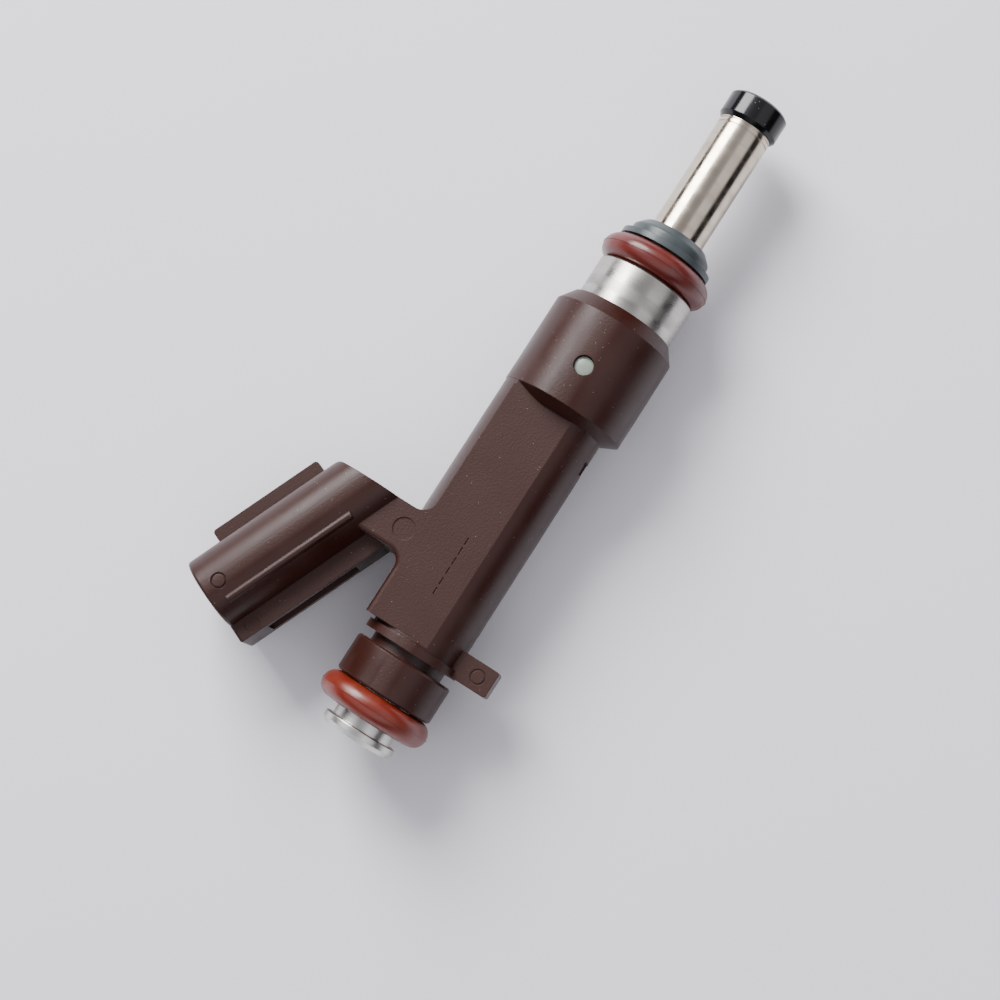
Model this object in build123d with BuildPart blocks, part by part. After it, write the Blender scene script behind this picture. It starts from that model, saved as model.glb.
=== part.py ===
from build123d import *

import os
from math import cos, radians, sin, sqrt, tan

# A port fuel injector with a long nozzle and an angled two-pin plug socket.
# Frame: origin on the injector's axis in the plane of the inlet mouth, +X along the axis to
# the nozzle tip, +Y towards the plug socket, +Z square to the moulded flats. Millimetres.

# ---------------------------------------------------------------- inlet pipe and filter
pipe_radius = 3.9
pipe_wall = 0.8
inlet_lip_width = 0.8
inlet_lip_thickness = 1.35
inlet_lip_round = 0.55
inlet_mouth_step = 0.2
inlet_lip_edge = 0.18
filter_recess = 4.2
filter_ring_length = 1.6
filter_basket_length = 11.0
filter_rib_thickness = 0.4
filter_rib_width = 0.8
filter_rib_count = 4
filter_side_gap = 0.35
filter_mesh_wall = 0.1
filter_end_thickness = 0.9

# ---------------------------------------------------------------- seals
rail_seal_section = 3.3
manifold_seal_section = 3.3
seal_squeeze = 0.08
seal_side_gap = 0.1
seal_lip_gap = 1.25
seal_flash_width = 0.16
seal_flash_height = 0.06

# ---------------------------------------------------------------- moulded body
collar_wall = 2.43
collar_length = 4.8
clip_groove_wall = 0.91
clip_groove_width = 1.15
end_flange_wall = 2.3
end_flange_thickness = 1.05
flats_margin = 0.4
neck_wall = 1.84
flat_half_height = 5.35
slab_low_y = -1.0
slab_side_y = 6.4
slab_spine_side_y = 6.1
slab_edge_round = 0.6
neck_length = 32.5
barrel_wall = 1.6
spine_step = 0.1
spine_overlap = 1.0
barrel_offset_y = 0.2
barrel_length = 11.45
barrel_chamfer_length = 1.8
barrel_lip = 0.15
shoulder_length = 1.1
moulding_edge = 0.25
web_offset = 7.45
web_width = 5.55
web_foot_round_inlet = 1.6
web_foot_round_nozzle = 1.9

# ---------------------------------------------------------------- anti-rotation tab
tab_width = 3.4
tab_reach_y = 10.45
tab_thickness = 4.0
tab_round = 0.35
tab_start = 0.15

# ---------------------------------------------------------------- plug socket
plug_tilt = 23.1
plug_mouth_x = 4.94
plug_mouth_y = 23.3
plug_shell_radius = 4.6
plug_half_width = 7.0
plug_wall = 1.2
plug_cavity_depth = 15.0
plug_corner_round = 1.8
plug_mouth_round = 0.35
latch_block_height = 2.27
latch_block_half_width = 3.0
latch_pocket_half_width = 1.9
latch_pocket_floor = 0.75
latch_pocket_depth = 9.0
latch_bridge_length = 3.6
latch_window_end = 16.0
top_rib_height = 2.0
top_rib_thickness = 1.6
top_rib_start = 4.2
top_rib_length = 15.0
top_rib_round = 0.45
side_ridge_radius = 0.55
side_ridge_lift = 0.35
side_ridge_angle = 31.0
side_ridge_start = 1.9
side_ridge_length = 17.3

# ---------------------------------------------------------------- moulding marks
ejector_mark_radius = 1.35
small_mark_radius = 0.95
mark_depth = 0.12
mark_ring_width = 0.2
tab_mark_from_end = 2.0
plug_mark_from_mouth = 2.3
tick_count = 6
tick_length = 0.95
tick_pitch = 1.35
tick_width = 0.14
tick_start = 6.1
tick_row_y = 0.75
pin_hole_radius = 1.2
pin_hole_side_x = 3.1
pin_hole_top_x = 4.4
pin_notch_from_barrel = 4.5
pin_notch_length = 1.7
pin_notch_half_width = 1.6
pin_notch_depth = 0.45

# ---------------------------------------------------------------- magnetic circuit
housing_radius = 6.3
housing_wall = 0.8
housing_exposed = 5.4
housing_inside_barrel = 11.35
housing_floor = 1.55
yoke_thickness = 1.2
yoke_slot_half_width = 2.95
gap_from_housing_top = 7.8
nonmagnetic_length = 3.0
core_length = 15.0
core_bore_radius = 1.5
bobbin_clearance = 0.05
bobbin_wall = 0.4
bobbin_flange = 0.8
bobbin_flange_gap = 0.15
bobbin_end_gap = 0.1
winding_step = 0.2
tower_clearance = 0.05
tower_half_width = 3.3
tower_length = 2.6
tower_cover = 0.6
tower_depth = 0.75

# ---------------------------------------------------------------- moving valve and its spring
lift = 0.08
residual_gap = 0.02
seat_gap = 0.02
armature_clearance = 0.06
armature_length = 7.0
spring_pocket_depth = 1.7
spring_pocket_radius = 1.5
armature_web = 0.6
needle_radius = 1.2
needle_bore_radius = 0.8
needle_hole_radius = 0.4
needle_top_hole = 1.4
needle_low_hole = 2.2
needle_weld_depth = 0.02
ball_radius = 1.75
ball_guide_clearance = 0.05
adjuster_length = 5.5
adjuster_bore_radius = 0.8
adjuster_depth = 5.7
spring_wire_radius = 0.17
spring_mean_radius = 1.1
spring_turns = 9
spring_end_gap = 0.02

# ---------------------------------------------------------------- nozzle end
retainer_gap = 0.2
retainer_flange_wall = 2.1
retainer_flange_thickness = 0.75
retainer_body_wall = 1.3
retainer_body_length = 1.1
retainer_nose_wall = 0.85
retainer_nose_length = 1.0
retainer_nose_round = 0.6
retainer_lip_clearance = 0.05
retainer_lip_length = 0.6
nozzle_seat_step = 0.3
nozzle_wall = 0.4
nozzle_reach = 18.7
nozzle_overlap = 4.4
nozzle_groove_depth = 0.12
nozzle_groove_width = 0.2
nozzle_groove_pitch = 0.6
nozzle_groove_from_ring = 0.9
tip_ring_wall = 0.45
tip_ring_length = 3.5
tip_ring_lip = 0.6
tip_ring_lip_cover = 0.5
tip_ring_chamfer = 0.55
tip_ring_edge = 0.3
seat_length = 5.3
seat_entry_radius = 2.3
seat_entry_length = 1.3
seat_sac_radius = 0.95
seat_groove_radius = 0.4
seat_groove_count = 5
ball_from_seat_face = 2.45
orifice_plate_thickness = 0.2
orifice_plate_recess = 0.5
orifice_count = 12
orifice_radius = 0.09
orifice_pitch_radius = 0.7

# ---------------------------------------------------------------- terminals
terminal_thickness = 0.64
terminal_width = 1.8
terminal_spacing = 4.4
terminal_tip_from_mouth = 5.0
terminal_run_lift = 0.1
terminal_bend = 1.0
terminal_in_tower = 1.3
terminal_bevel = 0.2

# ---------------------------------------------------------------- stations along the axis
rail_seal_x = inlet_lip_thickness + seal_lip_gap + rail_seal_section / 2
collar_x = rail_seal_x + rail_seal_section / 2 + seal_side_gap
groove_x = collar_x + collar_length
end_flange_x = groove_x + clip_groove_width
neck_x = end_flange_x + end_flange_thickness
flats_x = neck_x + flats_margin
web_x = flats_x + web_offset
web_end_x = web_x + web_width
barrel_x = neck_x + neck_length
shoulder_x = barrel_x - shoulder_length
chamfer_x = barrel_x + barrel_length
barrel_end_x = chamfer_x + barrel_chamfer_length
housing_x = barrel_end_x - housing_inside_barrel
housing_end_x = barrel_end_x + housing_exposed
housing_bore_radius = housing_radius - housing_wall
manifold_seal_x = housing_end_x + seal_side_gap + manifold_seal_section / 2
retainer_x = manifold_seal_x + manifold_seal_section / 2 + retainer_gap
retainer_body_x = retainer_x + retainer_flange_thickness
retainer_nose_x = retainer_body_x + retainer_body_length
retainer_end_x = retainer_nose_x + retainer_nose_length
nozzle_end_x = retainer_end_x + nozzle_reach
tip_x = nozzle_end_x + tip_ring_lip
tip_ring_x = tip_x - tip_ring_length

pipe_bore_radius = pipe_radius - pipe_wall
inlet_mouth_radius = pipe_bore_radius + inlet_mouth_step
inlet_lip_radius = pipe_radius + inlet_lip_width
filter_mesh_radius = pipe_bore_radius - filter_side_gap - filter_rib_thickness
collar_radius = pipe_radius + collar_wall
clip_groove_radius = pipe_radius + clip_groove_wall
end_flange_radius = pipe_radius + end_flange_wall
core_radius = pipe_radius + neck_wall
spine_radius = housing_radius + barrel_wall
retainer_flange_radius = pipe_radius + retainer_flange_wall
retainer_body_radius = pipe_radius + retainer_body_wall
nozzle_radius = pipe_bore_radius + nozzle_seat_step
retainer_nose_radius = nozzle_radius + retainer_nose_wall
tip_ring_radius = nozzle_radius + tip_ring_wall
core_face_x = housing_x + gap_from_housing_top
nonmagnetic_x = core_face_x - nonmagnetic_length / 2
valve_body_x = nonmagnetic_x + nonmagnetic_length
valve_body_end_x = retainer_end_x - retainer_lip_length
nozzle_x = valve_body_end_x - nozzle_overlap
nozzle_bore_radius = nozzle_radius - nozzle_wall
tip_ring_lip_radius = nozzle_bore_radius - tip_ring_lip_cover
core_x = core_face_x - core_length
adjuster_end_x = core_face_x - adjuster_depth
adjuster_x = adjuster_end_x - adjuster_length
armature_x = core_face_x + lift + residual_gap
armature_end_x = armature_x + armature_length
armature_radius = pipe_bore_radius - armature_clearance
spring_seat_x = armature_x + spring_pocket_depth
needle_x = spring_seat_x + armature_web
orifice_plate_x = nozzle_end_x - orifice_plate_recess - orifice_plate_thickness
seat_x = orifice_plate_x - seat_length
ball_x = orifice_plate_x - ball_from_seat_face
needle_end_x = ball_x - sqrt(ball_radius**2 - needle_radius**2) + needle_weld_depth
ball_guide_radius = ball_radius + ball_guide_clearance
# The seat is a cone at 45 degrees, one seat gap clear of the ball.
seat_cone_apex_x = ball_x + (ball_radius + seat_gap) * sqrt(2)
seat_cone_x = seat_cone_apex_x - ball_guide_radius
seat_sac_x = seat_cone_apex_x - seat_sac_radius

bobbin_x = housing_x + yoke_thickness + bobbin_end_gap
bobbin_end_x = housing_end_x - housing_floor - bobbin_end_gap
bobbin_bore_radius = pipe_radius + bobbin_clearance
bobbin_core_radius = bobbin_bore_radius + bobbin_wall
bobbin_flange_radius = housing_bore_radius - bobbin_flange_gap
winding_radius = bobbin_flange_radius - winding_step
terminal_run_y = housing_radius + terminal_run_lift
tower_top_y = terminal_run_y + tower_cover
tower_bottom_y = bobbin_flange_radius - tower_depth
tower_end_x = housing_x - tower_clearance
tower_x = tower_end_x - tower_length

# ---------------------------------------------------------------- plug socket's own frame
# plug_plane: local x away from the body, local y along +Z, local z inwards from the mouth.
plug_inward = Vector(cos(radians(plug_tilt)), -sin(radians(plug_tilt)), 0)
plug_outward = Vector(sin(radians(plug_tilt)), cos(radians(plug_tilt)), 0)
plug_mouth = Vector(plug_mouth_x, plug_mouth_y, 0)
plug_plane = Plane(origin=plug_mouth, x_dir=plug_outward, z_dir=plug_inward)
plug_top_at_web = (
    plug_mouth_y
    + plug_shell_radius / cos(radians(plug_tilt))
    - (web_end_x - plug_mouth_x) * tan(radians(plug_tilt))
)
plug_reach = 2 * web_end_x


def turned(points, mode=Mode.ADD, offset_y=0.0):
    """Revolve a closed outline of (x, radius) points about a line along X."""
    with BuildSketch(Plane.XY, mode=Mode.PRIVATE) as section:
        with BuildLine():
            Polyline(*[(x, offset_y + radius) for x, radius in points], close=True)
        make_face()
    revolve(section.sketch, axis=Axis((0, offset_y, 0), (1, 0, 0)), mode=mode)


def round_bar(x_from, x_to, radius, mode=Mode.ADD):
    """Put a round bar on the axis, or cut one out."""
    turned([(x_from, 0), (x_to, 0), (x_to, radius), (x_from, radius)], mode)


def ring(x_from, x_to, outer, inner):
    """Put a plain ring on the axis."""
    turned([(x_from, inner), (x_to, inner), (x_to, outer), (x_from, outer)])


def o_ring(seat_radius, section, centre_x):
    """Put a seal on the pipe: round, flat where it grips, with a fine mould line."""
    centre_radius = seat_radius + section / 2 - seal_squeeze
    crown = centre_radius + section / 2 + seal_flash_height
    with BuildSketch(Plane.XY, mode=Mode.PRIVATE) as cut:
        with Locations((centre_x, centre_radius)):
            Circle(section / 2)
        with Locations((centre_x, crown - section / 4)):
            Rectangle(seal_flash_width, section / 2)
        with Locations((centre_x, seat_radius - section / 2)):
            Rectangle(2 * section, section, mode=Mode.SUBTRACT)
    revolve(cut.sketch, axis=Axis.X)


def export(builder, name):
    """Label a finished piece and write its STEP file."""
    builder.part.label = name
    export_step(builder.part, f"parts/{name}.step")


def terminal_route():
    """Return the corner points of a terminal's centre line in the XY plane."""
    tip = plug_mouth + plug_inward * terminal_tip_from_mouth
    web_middle_x = (web_x + web_end_x) / 2
    over_web = plug_mouth + plug_inward * ((web_middle_x - plug_mouth_x) / plug_inward.X)
    return [
        (tip.X, tip.Y),
        (over_web.X, over_web.Y),
        (web_middle_x, terminal_run_y),
        (tower_x + terminal_in_tower, terminal_run_y),
    ]


def terminal_strip(centre_z, mode=Mode.ADD):
    """Make one bent terminal strip of constant thickness."""
    with BuildSketch(Plane.XY.offset(centre_z), mode=Mode.PRIVATE) as strip:
        with BuildLine() as route:
            FilletPolyline(*terminal_route(), radius=terminal_bend)
        trace(route.line, line_width=terminal_thickness)
    extrude(strip.sketch, amount=terminal_width / 2, both=True, mode=mode)


def round_mark(centre, radius, depth, ring_only=True):
    """Cut the shallow ring or dish that an ejector pin or a gate leaves in the moulding."""
    with BuildSketch(Plane(origin=centre - Vector(0, 0, depth)), mode=Mode.PRIVATE) as mark:
        Circle(radius)
        if ring_only:
            Circle(radius - mark_ring_width, mode=Mode.SUBTRACT)
    extrude(mark.sketch, amount=3 * depth, mode=Mode.SUBTRACT)


os.makedirs("parts", exist_ok=True)

# ================================================================ moulded body
with BuildPart() as flat_slab:
    # The slab with the flats, and the web that carries the plug socket.
    with BuildSketch(Plane.XY) as outline:
        with BuildLine():
            Polyline(
                (flats_x, slab_low_y),
                (shoulder_x + shoulder_length / 2, slab_low_y),
                (shoulder_x + shoulder_length / 2, slab_spine_side_y),
                (web_end_x, slab_spine_side_y),
                (web_end_x, plug_top_at_web - plug_shell_radius),
                (web_x, plug_top_at_web - plug_shell_radius),
                (web_x, slab_side_y),
                (flats_x, slab_side_y),
                close=True,
            )
        make_face()
        inlet_foot = outline.vertices().sort_by_distance((web_x, slab_side_y))[0]
        fillet(inlet_foot, radius=web_foot_round_inlet)
        nozzle_corner = (web_end_x, slab_spine_side_y)
        nozzle_foot = outline.vertices().sort_by_distance(nozzle_corner)[0]
        fillet(nozzle_foot, radius=web_foot_round_nozzle)
    extrude(amount=flat_half_height, both=True)
    # Round the flats' edges along the slab, round the foot and up the web's inlet side.
    rim = flat_slab.edges().filter_by(
        lambda edge: abs(abs(edge.center().Z) - flat_half_height) < 1e-6
        and edge.center().X < web_x + 1e-6
        and edge.center().Y > slab_side_y - 1e-6
    )
    fillet(rim, radius=slab_edge_round)

with BuildPart() as plug_blank:
    # The socket's shell on its own, with its mouth in the XY plane.
    with BuildSketch(Plane.XY):
        SlotCenterToCenter(
            2 * (plug_half_width - plug_shell_radius), 2 * plug_shell_radius, rotation=90
        )
        with Locations((-plug_shell_radius - (latch_block_height - plug_wall) / 2, 0)):
            Rectangle(latch_block_height + plug_wall, 2 * latch_block_half_width)
    extrude(amount=plug_reach)
    fillet(plug_blank.faces().sort_by(Axis.Z)[0].edges(), radius=plug_mouth_round)

with BuildPart() as plug_shell:
    add(plug_blank.part.moved(plug_plane.location))
    # The shell ends in the plane of the web's nozzle side, with a rounded top corner.
    with BuildSketch(Plane.XY):
        with BuildLine():
            Polyline(
                (web_end_x, slab_low_y),
                (web_end_x, plug_top_at_web),
                (
                    web_end_x - plug_reach * plug_inward.X,
                    plug_top_at_web - plug_reach * plug_inward.Y,
                ),
                (web_end_x - plug_reach * plug_inward.X, slab_low_y),
                close=True,
            )
        make_face()
        top_corner = (web_end_x, plug_top_at_web)
        fillet(vertices().sort_by_distance(top_corner)[0], radius=plug_corner_round)
    extrude(amount=2 * plug_half_width, both=True, mode=Mode.INTERSECT)

with BuildPart() as top_rib:
    with BuildSketch(Plane.XY):
        rib_base = plug_mouth + plug_outward * (plug_shell_radius - plug_wall / 2)
        rib_start = rib_base + plug_inward * top_rib_start
        rib_end = rib_start + plug_inward * top_rib_length
        rib_rise = plug_outward * (top_rib_height + plug_wall / 2)
        with BuildLine():
            Polyline(
                (rib_start.X, rib_start.Y),
                (rib_end.X, rib_end.Y),
                ((rib_end + rib_rise).X, (rib_end + rib_rise).Y),
                ((rib_start + rib_rise).X, (rib_start + rib_rise).Y),
                close=True,
            )
        make_face()
        fillet(
            vertices().sort_by(Axis((0, 0, 0), plug_outward))[-2:], radius=top_rib_round
        )
    extrude(amount=top_rib_thickness / 2, both=True)

with BuildPart() as overmold_body:
    # Collar, clip groove, end flange and the round core of the neck.
    turned(
        [
            (collar_x, 0),
            (collar_x, collar_radius - moulding_edge),
            (collar_x + moulding_edge, collar_radius),
            (groove_x - moulding_edge, collar_radius),
            (groove_x, collar_radius - moulding_edge),
            (groove_x, clip_groove_radius),
            (end_flange_x, clip_groove_radius),
            (end_flange_x, end_flange_radius),
            (neck_x, end_flange_radius),
            (neck_x, core_radius),
            (barrel_x, core_radius),
            (barrel_x, 0),
        ]
    )
    # The neck's two flats.
    for side in (-1, 1):
        with BuildSketch(Plane.XY.offset(side * flat_half_height)):
            with Locations(((flats_x + barrel_x) / 2, 0)):
                Rectangle(barrel_x - flats_x, 2 * spine_radius)
        extrude(amount=side * core_radius, mode=Mode.SUBTRACT)
    # Barrel over the coil, set a little towards the plug side.
    turned(
        [
            (shoulder_x, 0),
            (shoulder_x, core_radius),
            (barrel_x, spine_radius),
            (chamfer_x, spine_radius),
            (barrel_end_x, housing_radius + barrel_offset_y + barrel_lip),
            (barrel_end_x, 0),
        ],
        offset_y=barrel_offset_y,
    )
    # Spine from the web to the barrel, nearly flush with the barrel, over the terminals.
    spine_x = web_x + web_width / 2
    with BuildSketch(Plane.YZ.offset(spine_x)):
        with Locations((barrel_offset_y, 0)):
            Circle(spine_radius - spine_step)
        with Locations((slab_low_y + spine_radius, 0)):
            Rectangle(2 * spine_radius, 2 * flat_half_height, mode=Mode.INTERSECT)
    extrude(amount=barrel_x - spine_x + spine_overlap)
    add(flat_slab.part)
    add(plug_shell.part)
    add(top_rib.part)
    # Side ridges of the plug shell.
    with BuildSketch(plug_plane.offset(side_ridge_start)):
        for side in (-1, 1):
            reach = plug_shell_radius - side_ridge_radius + side_ridge_lift
            ridge_u = -reach * sin(radians(side_ridge_angle))
            ridge_z = plug_half_width - plug_shell_radius + reach * cos(radians(side_ridge_angle))
            with Locations((ridge_u, side * ridge_z)):
                Circle(side_ridge_radius)
    extrude(amount=side_ridge_length)
    # Plug cavity and the latch pocket that opens into it.
    with BuildSketch(plug_plane):
        SlotCenterToCenter(
            2 * (plug_half_width - plug_shell_radius),
            2 * (plug_shell_radius - plug_wall),
            rotation=90,
        )
    extrude(amount=plug_cavity_depth, mode=Mode.SUBTRACT)
    with BuildSketch(plug_plane):
        pocket_bottom = -plug_shell_radius - latch_block_height + latch_pocket_floor
        with Locations((pocket_bottom / 2, 0)):
            Rectangle(-pocket_bottom, 2 * latch_pocket_half_width)
    extrude(amount=latch_pocket_depth, mode=Mode.SUBTRACT)
    # Behind the latch bridge the block is open between its two rails.
    with BuildSketch(plug_plane.offset(latch_bridge_length)):
        with Locations((-plug_shell_radius - latch_block_height, 0)):
            Rectangle(2 * latch_block_height, 2 * latch_pocket_half_width)
    extrude(amount=latch_window_end - latch_bridge_length, mode=Mode.SUBTRACT)
    # Anti-rotation tab.
    with BuildSketch(Plane.XY):
        with BuildLine():
            tab_x = end_flange_x + tab_start
            Polyline(
                (tab_x, 0),
                (tab_x + tab_width, 0),
                (tab_x + tab_width, -tab_reach_y),
                (tab_x, -tab_reach_y),
                close=True,
            )
        make_face()
        fillet(vertices().group_by(Axis.Y)[0], radius=tab_round)
    extrude(amount=tab_thickness / 2, both=True)
    # Room for the pipe, the magnetic housing and the bobbin's terminal tower.
    round_bar(collar_x, housing_x, pipe_radius, Mode.SUBTRACT)
    round_bar(housing_x, barrel_end_x, housing_radius, Mode.SUBTRACT)
    with BuildSketch(Plane.YZ.offset(tower_x)):
        with Locations(((tower_top_y + tower_bottom_y) / 2, 0)):
            Rectangle(tower_top_y - tower_bottom_y, 2 * tower_half_width)
    extrude(amount=housing_x - tower_x, mode=Mode.SUBTRACT)
    for side in (-1, 1):
        terminal_strip(side * terminal_spacing / 2, Mode.SUBTRACT)
    # Holes that the mould's support pins leave over the housing.
    for turn, pin_x in (
        (0, pin_hole_top_x),
        (90, pin_hole_side_x),
        (270, pin_hole_side_x),
    ):
        outward = Vector(0, cos(radians(turn)), sin(radians(turn)))
        hole_plane = Plane(origin=(housing_x + pin_x, 0, 0), x_dir=(1, 0, 0), z_dir=outward)
        with BuildSketch(hole_plane.offset(housing_radius - housing_wall)):
            Circle(pin_hole_radius)
        extrude(amount=spine_radius, mode=Mode.SUBTRACT)
    with BuildSketch(Plane.XY):
        with Locations((barrel_x - pin_notch_from_barrel, -core_radius)):
            Rectangle(pin_notch_length, 2 * pin_notch_depth)
    extrude(amount=pin_notch_half_width, both=True, mode=Mode.SUBTRACT)
    # Ejector and gate marks, and a plain row of ticks on each flat.
    web_mark_y = slab_side_y + ejector_mark_radius
    web_mark = Vector((web_x + web_end_x) / 2, web_mark_y, flat_half_height)
    round_mark(web_mark, ejector_mark_radius, mark_depth, ring_only=False)
    tab_mark = Vector(tab_x + tab_width / 2, tab_mark_from_end - tab_reach_y, tab_thickness / 2)
    round_mark(tab_mark, small_mark_radius, mark_depth)
    mark_line = plug_mouth + plug_inward * plug_mark_from_mouth
    block_mark = mark_line - plug_outward * (plug_shell_radius + latch_block_height / 2)
    block_mark += Vector(0, 0, latch_block_half_width)
    round_mark(block_mark, small_mark_radius, mark_depth, ring_only=False)
    round_mark(mark_line + Vector(0, 0, plug_half_width), small_mark_radius, 2 * mark_depth)
    for side in (-1, 1):
        with BuildSketch(Plane.XY.offset(side * flat_half_height)):
            for step in range(tick_count):
                with Locations((flats_x + tick_start + step * tick_pitch, tick_row_y)):
                    Rectangle(tick_length, tick_width)
        extrude(amount=mark_depth, both=True, mode=Mode.SUBTRACT)

export(overmold_body, "overmold_body")

# ================================================================ inlet
with BuildPart() as inlet_tube:
    turned(
        [
            (0, inlet_mouth_radius),
            (0, inlet_lip_radius - inlet_lip_round),
            (inlet_lip_round, inlet_lip_radius),
            (inlet_lip_thickness, inlet_lip_radius),
            (inlet_lip_thickness, pipe_radius),
            (nonmagnetic_x, pipe_radius),
            (nonmagnetic_x, pipe_bore_radius),
            (filter_recess, pipe_bore_radius),
            (filter_recess, inlet_mouth_radius),
        ]
    )
    rim = inlet_tube.edges().filter_by(GeomType.CIRCLE).sort_by(SortBy.RADIUS)[-1:]
    fillet(rim, radius=inlet_lip_edge)
export(inlet_tube, "inlet_tube")

filter_basket_x = filter_recess + filter_ring_length
filter_end_x = filter_basket_x + filter_basket_length
with BuildPart() as inlet_filter_frame:
    ring(filter_recess, filter_basket_x, pipe_bore_radius, filter_mesh_radius - filter_mesh_wall)
    round_bar(filter_end_x, filter_end_x + filter_end_thickness, filter_mesh_radius)
    with BuildSketch(Plane.YZ.offset(filter_basket_x)):
        with PolarLocations(filter_mesh_radius + filter_rib_thickness / 2, filter_rib_count):
            Rectangle(filter_rib_thickness, filter_rib_width)
        Circle(filter_mesh_radius, mode=Mode.SUBTRACT)
    extrude(amount=filter_basket_length)
    with BuildSketch(Plane.YZ.offset(filter_end_x)):
        Circle(filter_mesh_radius + filter_rib_thickness)
    extrude(amount=filter_end_thickness)
export(inlet_filter_frame, "inlet_filter_frame")

with BuildPart() as inlet_filter_mesh:
    ring(
        filter_basket_x, filter_end_x, filter_mesh_radius, filter_mesh_radius - filter_mesh_wall
    )
export(inlet_filter_mesh, "inlet_filter_mesh")

with BuildPart() as rail_o_ring:
    o_ring(pipe_radius, rail_seal_section, rail_seal_x)
export(rail_o_ring, "rail_o_ring")

# ================================================================ magnetic circuit
with BuildPart() as magnetic_housing:
    turned(
        [
            (housing_x, housing_bore_radius),
            (housing_x, housing_radius),
            (housing_end_x - moulding_edge, housing_radius),
            (housing_end_x, housing_radius - moulding_edge),
            (housing_end_x, pipe_radius),
            (housing_end_x - housing_floor, pipe_radius),
            (housing_end_x - housing_floor, housing_bore_radius),
        ]
    )
export(magnetic_housing, "magnetic_housing")

with BuildPart() as yoke_plate:
    ring(housing_x, housing_x + yoke_thickness, housing_bore_radius, pipe_radius)
    with BuildSketch(Plane.YZ.offset(housing_x)):
        with Locations((housing_bore_radius, 0)):
            Rectangle(2 * housing_bore_radius, 2 * yoke_slot_half_width)
    extrude(amount=yoke_thickness, mode=Mode.SUBTRACT)
export(yoke_plate, "yoke_plate")

with BuildPart() as coil_bobbin:
    turned(
        [
            (bobbin_x, bobbin_bore_radius),
            (bobbin_x, bobbin_flange_radius),
            (bobbin_x + bobbin_flange, bobbin_flange_radius),
            (bobbin_x + bobbin_flange, bobbin_core_radius),
            (bobbin_end_x - bobbin_flange, bobbin_core_radius),
            (bobbin_end_x - bobbin_flange, bobbin_flange_radius),
            (bobbin_end_x, bobbin_flange_radius),
            (bobbin_end_x, bobbin_bore_radius),
        ]
    )
    # Terminal tower, and the neck that joins it to the bobbin through the yoke's slot.
    with BuildSketch(Plane.YZ.offset(tower_x)):
        with Locations(((tower_top_y + tower_bottom_y) / 2, 0)):
            Rectangle(tower_top_y - tower_bottom_y, 2 * tower_half_width)
    extrude(amount=tower_length)
    with BuildSketch(Plane.YZ.offset(tower_end_x - tower_length / 2)):
        Circle(bobbin_flange_radius)
        with Locations((bobbin_flange_radius, 0)):
            neck_depth = bobbin_flange_radius - tower_bottom_y
            neck_width = 2 * (yoke_slot_half_width - bobbin_clearance)
            Rectangle(2 * neck_depth, neck_width, mode=Mode.INTERSECT)
    extrude(amount=bobbin_x + bobbin_flange - tower_end_x + tower_length / 2)
    for side in (-1, 1):
        terminal_strip(side * terminal_spacing / 2, Mode.SUBTRACT)
export(coil_bobbin, "coil_bobbin")

with BuildPart() as coil_winding:
    ring(
        bobbin_x + bobbin_flange, bobbin_end_x - bobbin_flange, winding_radius, bobbin_core_radius
    )
export(coil_winding, "coil_winding")

with BuildPart() as fixed_core:
    ring(core_x, core_face_x, pipe_bore_radius, core_bore_radius)
export(fixed_core, "fixed_core")

with BuildPart() as adjusting_tube:
    ring(adjuster_x, adjuster_end_x, core_bore_radius, adjuster_bore_radius)
export(adjusting_tube, "adjusting_tube")

with BuildPart() as nonmagnetic_ring:
    ring(nonmagnetic_x, valve_body_x, pipe_radius, pipe_bore_radius)
export(nonmagnetic_ring, "nonmagnetic_ring")

with BuildPart() as valve_body:
    turned(
        [
            (valve_body_x, pipe_bore_radius),
            (valve_body_x, pipe_radius),
            (valve_body_end_x, pipe_radius),
            (valve_body_end_x, nozzle_radius),
            (nozzle_x, nozzle_radius),
            (nozzle_x, pipe_bore_radius),
        ]
    )
export(valve_body, "valve_body")

# ================================================================ moving valve
with BuildPart() as armature:
    turned(
        [
            (armature_x, spring_pocket_radius),
            (armature_x, armature_radius),
            (armature_end_x, armature_radius),
            (armature_end_x, needle_radius),
            (needle_x, needle_radius),
            (needle_x, needle_bore_radius),
            (spring_seat_x, needle_bore_radius),
            (spring_seat_x, spring_pocket_radius),
        ]
    )
export(armature, "armature")

with BuildPart() as needle_tube:
    ring(needle_x, needle_end_x, needle_radius, needle_bore_radius)
    for hole_x, plane in (
        (armature_end_x + needle_top_hole, Plane.XY),
        (needle_end_x - needle_low_hole, Plane.XZ),
    ):
        with BuildSketch(plane):
            with Locations((hole_x, 0)):
                Circle(needle_hole_radius)
        extrude(amount=2 * needle_radius, both=True, mode=Mode.SUBTRACT)
    with Locations((ball_x, 0, 0)):
        Sphere(ball_radius, mode=Mode.SUBTRACT)
export(needle_tube, "needle_tube")

with BuildPart() as valve_ball:
    with Locations((ball_x, 0, 0)):
        Sphere(ball_radius)
export(valve_ball, "valve_ball")

spring_from_x = adjuster_end_x + spring_end_gap + spring_wire_radius
spring_to_x = spring_seat_x - spring_end_gap - spring_wire_radius
with BuildPart() as return_spring:
    with BuildLine():
        coil = Helix(
            pitch=(spring_to_x - spring_from_x) / spring_turns,
            height=spring_to_x - spring_from_x,
            radius=spring_mean_radius,
            center=(spring_from_x, 0, 0),
            direction=(1, 0, 0),
        )
    with BuildSketch(Plane(origin=coil @ 0, z_dir=coil % 0)):
        Circle(spring_wire_radius)
    sweep(is_frenet=True)
export(return_spring, "return_spring")

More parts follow.
